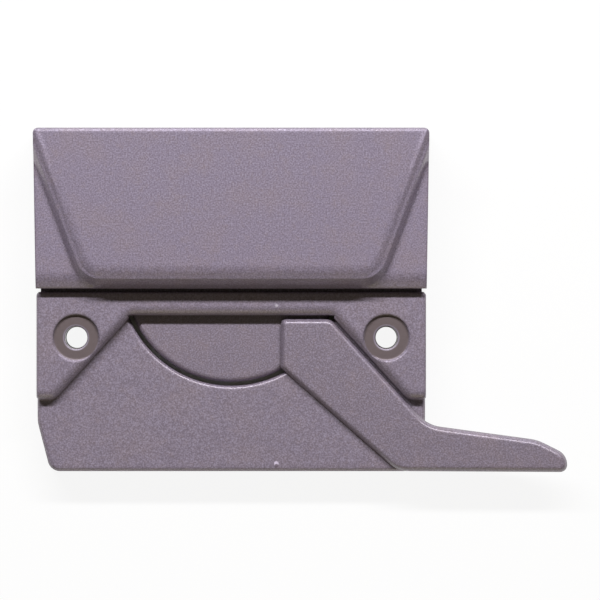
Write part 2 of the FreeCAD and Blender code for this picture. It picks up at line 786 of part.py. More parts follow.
def draw_hook(sketch):
    """The cam's root and hook: an outer arc about the pivot and an inner arc set to the left."""
    pivot, reach, mouth = dims.pivot_back, dims.cam_reach, dims.cam_mouth_radius
    root, tip, right = dims.cam_root, -dims.cam_tip_x, dims.cam_mouth_right
    root_end = (reach * reach - root * root).root().value
    tip_out = (reach * reach - tip * tip).root().value
    shift = dims.cam_mouth_shift
    tip_in = math.sqrt(mouth.value ** 2 - (tip + shift).value ** 2)
    mouth_end = math.sqrt(mouth.value ** 2 - (right + shift).value ** 2)
    y = pivot.value
    low = y - root.value
    high = y + root.value / 2
    up = FreeCAD.Vector(0, 0, 1)
    outer = Part.ArcOfCircle(Part.Circle(FreeCAD.Vector(0, y, 0), up, reach.value),
                             math.atan2(-root.value, root_end), math.atan2(tip_out, tip.value))
    inner = Part.ArcOfCircle(
        Part.Circle(FreeCAD.Vector(-shift.value, y, 0), up, mouth.value),
        math.atan2(mouth_end, (right + shift).value), math.atan2(tip_in, (tip + shift).value))
    corners = [(0, low), (root_end, low), (tip.value, y + tip_out), (tip.value, y + tip_in),
               (right.value, y + mouth_end), (right.value, high), (0, high)]
    spots = [FreeCAD.Vector(a, b, 0) for a, b in corners]
    bottom = sketch.addGeometry(Part.LineSegment(spots[0], spots[1]), False)
    outer = sketch.addGeometry(outer, False)
    tip_line = sketch.addGeometry(Part.LineSegment(spots[2], spots[3]), False)
    inner = sketch.addGeometry(inner, False)
    right_line = sketch.addGeometry(Part.LineSegment(spots[4], spots[5]), False)
    top = sketch.addGeometry(Part.LineSegment(spots[5], spots[6]), False)
    close = sketch.addGeometry(Part.LineSegment(spots[6], spots[0]), False)
    pin_point(sketch, bottom, 1, 0, pivot - root)
    pin_point(sketch, outer, 3, 0, pivot)
    pin_point(sketch, inner, 3, -shift, pivot)
    set_radius(sketch, outer, reach)
    set_radius(sketch, inner, mouth)
    sketch.addConstraint([
        Sketcher.Constraint("Horizontal", bottom),
        Sketcher.Constraint("Horizontal", top),
        Sketcher.Constraint("Vertical", tip_line),
        Sketcher.Constraint("Vertical", right_line),
        Sketcher.Constraint("Vertical", close),
        Sketcher.Constraint("Coincident", bottom, 2, outer, 1),
        Sketcher.Constraint("Coincident", outer, 2, tip_line, 1),
        Sketcher.Constraint("Coincident", tip_line, 2, inner, 2),
        Sketcher.Constraint("Coincident", inner, 1, right_line, 1),
        Sketcher.Constraint("Coincident", right_line, 2, top, 1),
        Sketcher.Constraint("Coincident", top, 2, close, 1),
        Sketcher.Constraint("Coincident", close, 2, bottom, 1),
    ])
    for kind, line, size in (("DistanceX", tip_line, tip), ("DistanceX", right_line, right),
                             ("DistanceY", top, pivot + root / 2)):
        index = sketch.addConstraint(Sketcher.Constraint(kind, -1, 1, line, 1, size.value))
        sketch.setExpression(f"Constraints[{index}]", size.formula)


def build_cam():
    """The flat steel cam: a hub keyed to the lever, and a hook open to the left."""
    piece = Piece(doc, "cam")
    bottom = dims.base_thickness + dims.thrust_thickness
    thickness = disc_bottom - bottom
    pivot, hub = dims.pivot_back, dims.cam_hub_radius
    sketch = piece.sketch(bottom, "hub_sketch")
    draw_circle(sketch, 0, pivot, hub)
    piece.pad(sketch, "hub", thickness)
    flat, half = hub - dims.detent_depth, dims.detent_half_width
    sketch = piece.sketch(bottom, "detent_sketch")
    draw_box(sketch, -FAR, pivot - half, -flat, pivot + half)
    draw_box(sketch, -half, -FAR, half, pivot - flat)
    piece.cut(sketch, "detents", thickness)
    sketch = piece.sketch(bottom, "hook_sketch")
    draw_hook(sketch)
    piece.pad(sketch, "hook", thickness)
    sketch = piece.sketch(bottom, "key_hole_sketch")
    draw_key(sketch, dims.key_play)
    piece.cut(sketch, "key_hole", thickness)
    return piece


def build_base_plate():
    """The stamped steel plate that closes the underside and carries the stud."""
    piece = Piece(doc, "base_plate")
    sketch = piece.sketch(0, "plate_sketch")
    draw_base_outline(sketch, Size.of(0))
    piece.pad(sketch, "plate", dims.base_thickness)
    sketch = piece.sketch(0, "hole_sketch")
    for x, side in mirrored_pairs(hole_x):
        draw_circle(sketch, x, 0, dims.rail_hole_radius)
    draw_circle(sketch, 0, dims.pivot_back, dims.stud_foot_radius)
    draw_circle(sketch, rivet_x, rivet_y, dims.rivet_radius)
    piece.cut(sketch, "holes", dims.base_thickness)
    sketch = piece.sketch(0, "screw_sink_sketch")
    for x, y, length, name in screws:
        draw_circle(sketch, x, y, dims.screw_head_radius)
    sink = ((dims.screw_head_radius - screw_hole_radius) / dims.base_thickness).angle()
    piece.cut(sketch, "screw_sinks", dims.base_thickness, slope=-sink)
    return piece


def build_detent_spring():
    """A leaf bent up from a riveted foot, standing beside the cam's hub."""
    piece = Piece(doc, "detent_spring")
    sketch = piece.sketch(dims.base_thickness, "leaf_sketch")
    draw_box(sketch, leaf_x - dims.leaf_stock, leaf_front, leaf_x, leaf_front + dims.leaf_length)
    piece.pad(sketch, "leaf", disc_bottom - dims.base_thickness - dims.leaf_top_gap)
    sketch = piece.sketch(dims.base_thickness, "foot_sketch")
    draw_box(sketch, leaf_x - dims.leaf_stock - dims.leaf_foot, leaf_front,
             leaf_x, leaf_front + dims.leaf_foot_width)
    piece.pad(sketch, "foot", dims.leaf_stock)
    sketch = piece.sketch(dims.base_thickness, "foot_hole_sketch")
    draw_circle(sketch, rivet_x, rivet_y, dims.rivet_radius)
    piece.cut(sketch, "foot_hole", dims.leaf_stock)
    return piece


def place(item, x, y, z):
    """Tie the place of a plain solid to the sheet."""
    sizes = [Size.of(value) for value in (x, y, z)]
    item.Placement = FreeCAD.Placement(
        FreeCAD.Vector(*[size.value for size in sizes]), FreeCAD.Rotation())
    for axis, size in zip("xyz", sizes):
        item.setExpression(f"Placement.Base.{axis}", size.formula)


def cylinder(name, radius, height, x, y, z):
    """An upright cylinder standing on z."""
    item = doc.addObject("Part::Cylinder", name)
    bind(item, "Radius", radius)
    bind(item, "Height", height)
    place(item, x, y, z)
    return item


def cone(name, low_radius, high_radius, height, x, y, z):
    """An upright frustum standing on z."""
    item = doc.addObject("Part::Cone", name)
    bind(item, "Radius1", low_radius)
    bind(item, "Radius2", high_radius)
    bind(item, "Height", height)
    place(item, x, y, z)
    return item


def fuse(label, items):
    """Join solids into one."""
    item = doc.addObject("Part::MultiFuse", label)
    item.Shapes = items
    item.Refine = True
    return item


def cut(label, base, tool):
    """One solid less another."""
    item = doc.addObject("Part::Cut", label)
    item.Base = base
    item.Tool = tool
    return item


def build_stud():
    """The shouldered stud: foot in the base plate, shank for the lever, flat head."""
    y = dims.pivot_back
    shank = disc_top - dims.recess_depth + dims.spring_height - dims.base_thickness
    return fuse("pivot_stud", [
        cylinder("stud_foot", dims.stud_foot_radius, dims.base_thickness, 0, y, 0),
        cylinder("stud_shank", dims.stud_radius, shank, 0, y, dims.base_thickness),
        cylinder("stud_head", dims.stud_head_radius, dims.stud_head_height,
                 0, y, dims.base_thickness + shank),
    ])


def build_thrust_washer():
    """The flat washer between base plate and cam."""
    y, z = dims.pivot_back, dims.base_thickness
    return cut("thrust_washer",
               cylinder("washer_blank", dims.thrust_radius, dims.thrust_thickness, 0, y, z),
               cylinder("washer_hole", dims.stud_radius + dims.turning_play,
                        dims.thrust_thickness, 0, y, z))


def build_spring_washer():
    """The conical washer in the lever's recess, pressed by the stud's head."""
    y, z = dims.pivot_back, disc_top - dims.recess_depth
    height = dims.spring_height - dims.turning_play
    outer = dims.recess_radius - dims.spring_play
    inner = dims.stud_radius + dims.spring_play
    return cut("spring_washer",
               cone("spring_blank", outer, inner + dims.spring_stock, height, 0, y, z),
               cone("spring_bore", outer - dims.spring_stock, inner, height, 0, y, z))


def build_rivet():
    """The rivet through the leaf's foot and the base plate."""
    grip = dims.base_thickness + dims.leaf_stock
    return fuse("spring_rivet", [
        cylinder("rivet_shank", dims.rivet_radius, grip, rivet_x, rivet_y, 0),
        cylinder("rivet_head", dims.rivet_head_radius, dims.rivet_head_height,
                 rivet_x, rivet_y, grip),
    ])


def build_screw(x, y, length, name):
    """A small flat screw, driven from below."""
    head = cone(f"{name}_head", dims.screw_head_radius - dims.turning_play, dims.screw_radius,
                dims.base_thickness, x, y, 0)
    shank = cylinder(f"{name}_shank", dims.screw_radius, length, x, y, dims.base_thickness)
    return fuse(name, [head, shank])


pieces = [build().body for build in (build_lock_body, build_hood, build_lever, build_cam,
                                     build_base_plate, build_detent_spring)]
pieces += [build_stud(), build_thrust_washer(), build_spring_washer(), build_rivet()]
pieces += [build_screw(*screw) for screw in screws]
doc.recompute()

for item in doc.Objects:
    if "Invalid" in item.State or "Error" in item.State:
        raise ValueError(f"{item.Label} failed")
for piece in pieces:
    if piece.Shape.isNull() or not piece.Shape.isValid():
        raise ValueError(f"{piece.Label} has no sound shape")

os.makedirs("parts", exist_ok=True)
for piece in pieces:
    piece.Shape.exportStep(f"parts/{piece.Label}.step")
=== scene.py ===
"""Looks of a sash lock: a powder-coated casting with two ears, a deep hood and a long side lever.

Everything is in metres in the row frame: the origin lies midway between the two mounting screw
holes on the face that meets the rail, +X runs to the tip of the lever, +Y to the rear under the
hood and +Z up.
"""

import logging
import math
from abc import ABC, abstractmethod
from dataclasses import dataclass
from enum import Enum
from typing import Iterable

import bmesh
import bpy
import numpy as np
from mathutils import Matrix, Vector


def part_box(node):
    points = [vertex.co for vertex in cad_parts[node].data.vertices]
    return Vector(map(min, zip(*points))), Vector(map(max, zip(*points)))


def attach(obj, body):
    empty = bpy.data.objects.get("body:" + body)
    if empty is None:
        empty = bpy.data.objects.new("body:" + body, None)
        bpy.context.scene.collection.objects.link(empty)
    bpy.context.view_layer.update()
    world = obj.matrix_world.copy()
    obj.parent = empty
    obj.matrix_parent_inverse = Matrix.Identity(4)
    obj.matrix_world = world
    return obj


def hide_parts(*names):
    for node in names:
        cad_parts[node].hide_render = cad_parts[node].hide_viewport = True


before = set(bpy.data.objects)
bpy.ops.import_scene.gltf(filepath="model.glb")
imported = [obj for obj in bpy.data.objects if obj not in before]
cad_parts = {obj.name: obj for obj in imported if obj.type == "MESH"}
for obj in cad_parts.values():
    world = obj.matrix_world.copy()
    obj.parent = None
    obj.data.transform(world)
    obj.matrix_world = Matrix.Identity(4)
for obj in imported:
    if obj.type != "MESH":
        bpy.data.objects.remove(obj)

LOG = logging.getLogger("sash_lock")
MM = 0.001

Number = int | float
Colour = tuple[float, float, float, float]
WHITE: Colour = (1.0, 1.0, 1.0, 1.0)

# The sockets of a Mix node that mixes colours.
MIX_FACTOR, MIX_FIRST, MIX_SECOND, MIX_RESULT = 0, 6, 7, 2

# About how far apart the rings of a wave texture of scale 1 are.
WAVE_LENGTH = 0.31

# How deep the relief of bare metal looks.
RELIEF_DEPTH = 0.02 * MM

# Points of a mesh closer than this are one.
MERGE_STEP = 0.001 * MM

# Neighbouring faces that differ by less than this are one flat face.
FLAT_WITHIN = math.radians(0.05)


class Slot(Enum):
    """The finishes that the record names."""

    COATING = "coating"
    STEEL = "steel"


class Body(Enum):
    """The rigid bodies that pieces ride on."""

    HOUSING = "housing"
    LEVER = "turning_lever"


def srgb(red: Number, green: Number, blue: Number) -> Colour:
    """Turns a display colour into the linear colour that a shader takes.

    The curve is a straight line near black and then a power of 2.4.

    Args:
        red: Red from 0 to 255.
        green: Green from 0 to 255.
        blue: Blue from 0 to 255.

    Returns:
        The linear colour with full alpha.
    """
    def linear(part: Number) -> float:
        """Gives one part of the linear colour, from 0 to 1."""
        share = part / 255
        return share / 12.92 if share <= 0.04045 else ((share + 0.055) / 1.055) ** 2.4

    return (linear(red), linear(green), linear(blue), 1.0)


class Tree:
    """Adds nodes to one node tree."""

    def __init__(self, tree: bpy.types.NodeTree) -> None:
        """Keeps the tree and empties it.

        Args:
            tree: The tree.
        """
        self.tree = tree
        tree.nodes.clear()

    def add(self, kind: str, settings: dict | None = None, inputs: dict | None = None,
            output: int | str = 0) -> "Value":
        """Adds one node.

        Args:
            kind: The node's type name.
            settings: Attributes of the node, set before its sockets.
            inputs: Numbers, colours or values for its sockets, by name or index.
            output: The output that the returned value stands for.

        Returns:
            The chosen output as a value.
        """
        node = self.tree.nodes.new(kind)
        for name, setting in (settings or {}).items():
            setattr(node, name, setting)
        for name, given in (inputs or {}).items():
            socket = node.inputs[name]
            if isinstance(given, Value):
                self.tree.links.new(given.socket, socket)
            else:
                socket.default_value = given
        return Value(self, node.outputs[output])

    def end(self, kind: str, shader: "Value") -> None:
        """Joins a shader to a new output node.

        Args:
            kind: The output node's type name.
            shader: The shader.
        """
        node = self.tree.nodes.new(kind)
        self.tree.links.new(shader.socket, node.inputs["Surface"])

    def mix(self, factor: "Value | float", first: "Value | Colour",
            second: "Value | Colour") -> "Value":
        """Mixes two colours.

        Args:
            factor: Share of the second colour.
            first: The first colour.
            second: The second colour.

        Returns:
            The mixed colour.
        """
        inputs = {MIX_FACTOR: factor, MIX_FIRST: first, MIX_SECOND: second}
        return self.add("ShaderNodeMix", {"data_type": "RGBA"}, inputs, MIX_RESULT)

    def noise(self, place: "Value", scale: float, detail: float = 2.0,
              roughness: float = 0.5) -> "Value":
        """Adds soft noise about a middle of 0.5.

        Args:
            place: Where it is read.
            scale: Swells in a metre.
            detail: How many finer layers it has.
            roughness: How strong the finer layers are.

        Returns:
            The noise, from 0 to 1.
        """
        return self.add("ShaderNodeTexNoise", inputs={
            "Vector": place, "Scale": scale, "Detail": detail, "Roughness": roughness})

    def metal(self, colour: "Value", rough: "Value", height: "Value", relief: float) -> None:
        """Ends a material's tree in bare metal with a faint relief.

        Args:
            colour: The metal's colour.
            rough: Its roughness.
            height: The relief, from about 0 to 1.
            relief: How strongly the relief shows.
        """
        bump = self.add("ShaderNodeBump", inputs={
            "Strength": relief, "Distance": RELIEF_DEPTH, "Height": height})
        shader = self.add("ShaderNodeBsdfPrincipled", inputs={
            "Base Color": colour, "Roughness": rough, "Metallic": 1.0, "Normal": bump})
        self.end("ShaderNodeOutputMaterial", shader)


@dataclass(frozen=True)
class Value:
    """One node output that can be used in sums."""

    owner: Tree
    socket: bpy.types.NodeSocket

    def _math(self, operation: str, other: "Value | float") -> "Value":
        """Adds a Math node that works on this value and another.

        Args:
            operation: The operation's name.
            other: The other value.

        Returns:
            The result.
        """
        return self.owner.add("ShaderNodeMath", {"operation": operation}, {0: self, 1: other})

    def __add__(self, other: "Value | float") -> "Value":
        """Sum."""
        return self._math("ADD", other)

    def __radd__(self, other: float) -> "Value":
        """Sum with a number on the left."""
        return self._math("ADD", other)

    def __sub__(self, other: "Value | float") -> "Value":
        """Difference."""
        return self._math("SUBTRACT", other)

    def __rsub__(self, other: float) -> "Value":
        """Difference from a number."""
        return self.owner.add("ShaderNodeMath", {"operation": "SUBTRACT"}, {0: other, 1: self})

    def __mul__(self, other: "Value | float") -> "Value":
        """Product."""
        return self._math("MULTIPLY", other)

    def __rmul__(self, other: float) -> "Value":
        """Product with a number on the left."""
        return self._math("MULTIPLY", other)

    def ramp(self, low: float, high: float) -> "Value":
        """Runs smoothly from 0 to 1.

        Args:
            low: The value that gives 0.
            high: The value that gives 1.

        Returns:
            The ramp.
        """
        return self.owner.add("ShaderNodeMapRange", {"interpolation_type": "SMOOTHSTEP"},
                              {"Value": self, "From Min": low, "From Max": high})

    def larger(self, other: "Value | float") -> "Value":
        """The larger of the two."""
        return self._math("MAXIMUM", other)

    def distance(self, point: tuple[float, float, float]) -> "Value":
        """Distance of this place from a point.

        Args:
            point: The point in metres.

        Returns:
            The distance in metres.
        """
        return self.owner.add("ShaderNodeVectorMath", {"operation": "DISTANCE"},
                              {0: self, 1: point}, "Value")


def new_material(name: str) -> tuple[bpy.types.Material, Tree]:
    """Makes an empty node material.

    Args:
        name: The material's name.

    Returns:
        The material and its node tree.
    """
    material = bpy.data.materials.new(name)
    material.use_nodes = True
    return material, Tree(material.node_tree)


@dataclass(frozen=True)
class Band:
    """How a value becomes a share: none below low, the full share above high."""

    low: float
    high: float
    share: float = 1.0

    def of(self, value: Value) -> Value:
        """Gives the share for a value.

        Args:
            value: The value, as of a noise.

        Returns:
            The share, from 0 up.
        """
        return value.ramp(self.low, self.high) * self.share


@dataclass(frozen=True)
class NibOrPaintedLight:
    """A round disc of colour in a coat, about a millimetre across at most. It stands for a paint nib,
    and also for the painted highlight and the painted shade on a small dome.
    """

    place: tuple[float, float, float]
    radius: float
    share: float
    colour: Colour


@dataclass(frozen=True)
class Seat:
    """A round seat where the coat is thin and brown, with a paler ring round its hole that is part
    wear and part painted highlight.
    """

    place: tuple[float, float, float]
    radius: float


class Finish(ABC):
    """A finish that can be made into a material."""

    def make(self, name: str) -> bpy.types.Material:
        """Builds the material.

        Args:
            name: The material's name.

        Returns:
            The material.
        """
        material, tree = new_material(name)
        self.paint(tree, tree.add("ShaderNodeTexCoord", output="Object"))
        return material

    @abstractmethod
    def paint(self, tree: Tree, place: Value) -> None:
        """Adds the finish's nodes.

        Args:
            tree: The material's tree.
            place: Each point's place in metres.
        """


@dataclass(frozen=True)
class PowderCoat(Finish):
    """A satin taupe powder coat with a metallic grain, thin seats, paint nibs and spots of painted
    highlight and shade.

    A band says how much of another tone a noise brings in, and a size how far apart its swells are.
    The grain and the peel make the coat's relief, the grain and the flakes its uneven gloss.
    """

    colour: Colour = srgb(141, 130, 147)
    dark: Colour = srgb(98, 88, 98)
    light: Colour = srgb(190, 183, 208)
    warm: Colour = srgb(150, 134, 140)
    bare: Colour = srgb(110, 98, 100)
    clouds: Band = Band(0.4, 0.75, 0.35)
    patches: Band = Band(0.5, 0.7, 0.3)
    pits: Band = Band(0.44, 0.66, 0.42)
    grains: Band = Band(0.5, 0.7, 0.32)
    flakes: Band = Band(0.7, 1.0, 0.16)
    glints: Band = Band(0.85, 1.0, 0.12)
    roughness: float = 0.46
    grain_roughness: float = 0.18
    metallic: float = 0.25
    coat_weight: float = 0.75
    coat_roughness: float = 0.26
    cloud_size: float = 6.25 * MM
    peel_size: float = 1.1 * MM
    grain_size: float = 0.3 * MM
    flake_size: float = 0.24 * MM
    grain_height: float = 0.55
    mark_height: float = 2.0
    mark_wander: float = 0.12 * MM
    mark_core: float = 0.6
    seat_inside: float = 0.3 * MM
    seat_outside: float = 0.1 * MM
    rim_rise: Band = Band(0.5, 0.52)
    rim_fall: Band = Band(0.54, 0.6)
    rim_share: float = 0.4
    edge_radius: float = 0.7 * MM
    edge_samples: int = 8
    bump_strength: float = 0.22
    bump_depth: float = 0.05 * MM
    nibs_and_painted_light: tuple[NibOrPaintedLight, ...] = ()
    seats: tuple[Seat, ...] = ()

    def paint(self, tree: Tree, place: Value) -> None:
        """Adds the coat's nodes.

        Args:
            tree: The material's tree.
            place: Each point's place in metres.
        """
        grain = tree.noise(place, 1 / self.grain_size, roughness=0.6)
        peel = tree.noise(place, 1 / self.peel_size, detail=3.0, roughness=0.55)
        cloud = tree.noise(place, 1 / self.cloud_size)
        cells = tree.add("ShaderNodeTexVoronoi", {"feature": "F1"},
                         {"Vector": place, "Scale": 1 / self.flake_size}, "Color")
        flake = tree.add("ShaderNodeSeparateColor", inputs={"Color": cells})
        colour = tree.mix(self.clouds.of(cloud), self.colour, self.warm)
        colour = tree.mix(self.patches.of(peel), colour, self.warm)
        colour = tree.mix(self.pits.of(1 - grain), colour, self.dark)
        colour = tree.mix(self.grains.of(grain), colour, self.light)
        colour = tree.mix(self.flakes.of(flake), colour, self.light)
        rough = self.roughness + self.grain_roughness * (grain - 0.5) - self.glints.of(flake)
        height = grain * self.grain_height + peel
        for seat in self.seats:
            colour = self.thin(tree, place, colour, seat)
        # Pale and dark discs: paint nibs, and a small dome's painted highlight and painted shade.
        for mark in self.nibs_and_painted_light:
            span = place.distance(mark.place) + self.mark_wander * (peel - 0.5)
            mask = (1 - span.ramp(self.mark_core * mark.radius, mark.radius)) * mark.share
            colour = tree.mix(mask, colour, mark.colour)
            height = height + mask * self.mark_height
        eased = tree.add("ShaderNodeBevel", {"samples": self.edge_samples},
                         {"Radius": self.edge_radius})
        bump = tree.add("ShaderNodeBump", inputs={
            "Strength": self.bump_strength, "Distance": self.bump_depth, "Height": height,
            "Normal": eased})
        shader = tree.add("ShaderNodeBsdfPrincipled", inputs={
            "Base Color": colour, "Roughness": rough, "Metallic": self.metallic, "Normal": bump,
            "Coat Weight": self.coat_weight, "Coat Roughness": self.coat_roughness})
        tree.end("ShaderNodeOutputMaterial", shader)

    def thin(self, tree: Tree, place: Value, colour: Value, seat: Seat) -> Value:
        """Makes the coat brown on a seat, and pale on the ring round its hole as part wear and part
        painted highlight.

        Args:
            tree: The material's tree.
            place: Each point's place in metres.
            colour: The coat's colour so far.
            seat: The seat.

        Returns:
            The colour with the seat.
        """
        span = place.distance(seat.place)
        inside = 1 - span.ramp(seat.radius - self.seat_inside, seat.radius + self.seat_outside)
        colour = tree.mix(inside, colour, self.bare)
        # The pale ring at the hole's edge is part worn coat and part painted highlight where the edge
        # catches the light.
        reach = span * (1 / seat.radius)
        rim = self.rim_rise.of(reach) * (1 - self.rim_fall.of(reach))
        return tree.mix(rim * self.rim_share, colour, self.light)


@dataclass(frozen=True)
class ZincPlate(Finish):
    """Bright zinc plating on sheet steel: pale, with spangle and a faint straw to blue tint."""

    colour: Colour = (0.60, 0.61, 0.62, 1.0)
    straw: Colour = (0.62, 0.58, 0.47, 1.0)
    blue: Colour = (0.50, 0.55, 0.63, 1.0)
    straw_patches: Band = Band(0.5, 0.75, 0.6)
    blue_patches: Band = Band(0.5, 0.75, 0.5)
    tint_scale: float = 90.0
    spangle_scale: float = 900.0
    scuff_scale: float = 2400.0
    roughness: float = 0.34
    scuff_roughness: float = 0.2
    spangle_roughness: float = 0.08
    relief: float = 0.15

    def paint(self, tree: Tree, place: Value) -> None:
        """Adds the plating's nodes.

        Args:
            tree: The material's tree.
            place: Each point's place in metres.
        """
        tint = tree.noise(place, self.tint_scale, detail=3.0)
        spangle = tree.add("ShaderNodeTexVoronoi", {"feature": "F1"},
                           {"Vector": place, "Scale": self.spangle_scale}, "Distance")
        scuff = tree.noise(place, self.scuff_scale)
        colour = tree.mix(self.straw_patches.of(tint), self.colour, self.straw)
        colour = tree.mix(self.blue_patches.of(1 - tint), colour, self.blue)
        rough = self.roughness + self.scuff_roughness * (scuff - 0.5)
        rough = rough + self.spangle_roughness * spangle
        tree.metal(colour, rough, scuff + spangle, self.relief)


@dataclass(frozen=True)
class TurnedSteel(Finish):
    """Steel turned on a lathe: fine rings about an upright axis, and a thin film of oil."""

    centre: tuple[float, float] = (0.0, 0.0)
    colour: Colour = (0.52, 0.52, 0.53, 1.0)
    shade: Colour = (0.34, 0.34, 0.36, 1.0)
    oil: Band = Band(0.45, 0.75, 0.7)
    film_scale: float = 500.0
    ring_size: float = 0.12 * MM
    ring_wander: float = 0.6
    roughness: float = 0.3
    film_roughness: float = 0.15
    ring_roughness: float = 0.06
    relief: float = 0.2

    def paint(self, tree: Tree, place: Value) -> None:
        """Adds the steel's nodes.

        Args:
            tree: The material's tree.
            place: Each point's place in metres.
        """
        x, y = self.centre
        centred = tree.add("ShaderNodeMapping", inputs={"Vector": place, "Location": (-x, -y, 0.0)})
        rings = tree.add("ShaderNodeTexWave", {"wave_type": "RINGS", "rings_direction": "Z"},
                         {"Vector": centred, "Scale": WAVE_LENGTH / self.ring_size,
                          "Distortion": self.ring_wander, "Detail": 1.0}, "Fac")
        film = tree.noise(place, self.film_scale, detail=3.0)
        colour = tree.mix(self.oil.of(film), self.colour, self.shade)
        rough = self.roughness + self.film_roughness * (film - 0.5) + self.ring_roughness * rings
        tree.metal(colour, rough, rings, self.relief)


@dataclass(frozen=True)
class SpringSteel(Finish):
    """Blued spring strip with a lengthwise rolling grain."""

    colour: Colour = (0.20, 0.21, 0.25, 1.0)
    straw: Colour = (0.33, 0.27, 0.20, 1.0)
    heat_tints: Band = Band(0.5, 0.72, 0.6)
    heat_scale: float = 220.0
    grain_scale: float = 6000.0
    grain_stretch: tuple[float, float, float] = (1.0, 0.04, 1.0)
    roughness: float = 0.32
    grain_roughness: float = 0.2
    relief: float = 0.15

    def paint(self, tree: Tree, place: Value) -> None:
        """Adds the steel's nodes.

        Args:
            tree: The material's tree.
            place: Each point's place in metres.
        """
        drawn = tree.add("ShaderNodeMapping", inputs={"Vector": place, "Scale": self.grain_stretch})
        grain = tree.noise(drawn, self.grain_scale)
        heat = tree.noise(place, self.heat_scale)
        colour = tree.mix(self.heat_tints.of(heat), self.colour, self.straw)
        rough = self.roughness + self.grain_roughness * (grain - 0.5)
        tree.metal(colour, rough, grain, self.relief)


def dress(node: str, material: bpy.types.Material) -> None:
    """Puts one material on every slot of a CAD node.

    Args:
        node: The node's name.
        material: The finish that it gets.
    """
    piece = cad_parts[node]
    if not piece.material_slots:
        piece.data.materials.append(material)
    for slot in piece.material_slots:
        slot.material = material
    low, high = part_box(node)
    size = [round((b - a) / MM, 1) for a, b in zip(low, high)]
    LOG.info("%s dressed in %s, %s mm", node, material.name, size)


def foot_of(node: str) -> tuple[float, float, float]:
    """Gives the middle of a CAD node's lower side.

    Args:
        node: The node's name.

    Returns:
        The place in metres.
    """
    low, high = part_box(node)
    return (low.x + high.x) / 2, (low.y + high.y) / 2, low.z


def merged_mesh(node: str) -> bpy.types.Mesh:
    """Copies a CAD node's mesh with its doubles merged and its flat faces joined.

    Args:
        node: The node's name.

    Returns:
        The copy, in the same place.
    """
    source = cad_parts[node].data
    spots = np.empty(3 * len(source.vertices))
    source.vertices.foreach_get("co", spots)
    spots = spots.reshape(-1, 3)
    source.calc_loop_triangles()
    loops = np.empty(3 * len(source.loop_triangles), dtype=np.int32)
    source.loop_triangles.foreach_get("vertices", loops)
    _, first, place = np.unique(np.round(spots / MERGE_STEP), axis=0,
                                return_index=True, return_inverse=True)
    faces = place.reshape(-1)[loops].reshape(-1, 3)
    apart = [len(set(face)) == 3 for face in faces.tolist()]
    mesh = bpy.data.meshes.new(f"{node}_merged")
    mesh.from_pydata(spots[first].tolist(), [], faces[apart].tolist())
    grid = bmesh.new()
    grid.from_mesh(mesh)
    bmesh.ops.dissolve_limit(grid, angle_limit=FLAT_WITHIN, use_dissolve_boundaries=False,
                             verts=grid.verts, edges=grid.edges)
    grid.to_mesh(mesh)
    grid.free()
    return mesh


def smooth(mesh: bpy.types.Mesh, below: float) -> None:
    """Shades a mesh round across its shallow edges.

    Args:
        mesh: The mesh.
        below: The edges' angle up to which it is round, in radians.
    """
    mesh.polygons.foreach_set("use_smooth", [True] * len(mesh.polygons))
    mesh.set_sharp_from_angle(angle=below)


@dataclass
class Casting:
    """A cast piece that stands for its CAD node, with its bevels shaded round and its edges eased."""

    node: str
    body: Body
    ease: float = 0.16 * MM
    ease_steps: int = 2
    ease_above: float = math.radians(60.0)
    smooth_below: float = math.radians(50.0)

    def build(self, coat: bpy.types.Material) -> None:
        """Makes the piece and puts it in the node's place.

        Args:
            coat: The finish that it gets.
        """
        mesh = merged_mesh(self.node)
        smooth(mesh, self.smooth_below)
        mesh.materials.append(coat)
        piece = bpy.data.objects.new(f"{self.node}_cast", mesh)
        bpy.context.scene.collection.objects.link(piece)
        bevel = piece.modifiers.new("eased_edges", "BEVEL")
        bevel.width = self.ease
        bevel.segments = self.ease_steps
        bevel.limit_method = "ANGLE"
        bevel.angle_limit = self.ease_above
        bevel.use_clamp_overlap = True
        normals = piece.modifiers.new("even_shading", "WEIGHTED_NORMAL")
        normals.keep_sharp = True
        normals.mode = "FACE_AREA"
        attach(piece, self.body.value)
        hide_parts(self.node)
        LOG.info("%s has %d faces", piece.name, len(mesh.polygons))


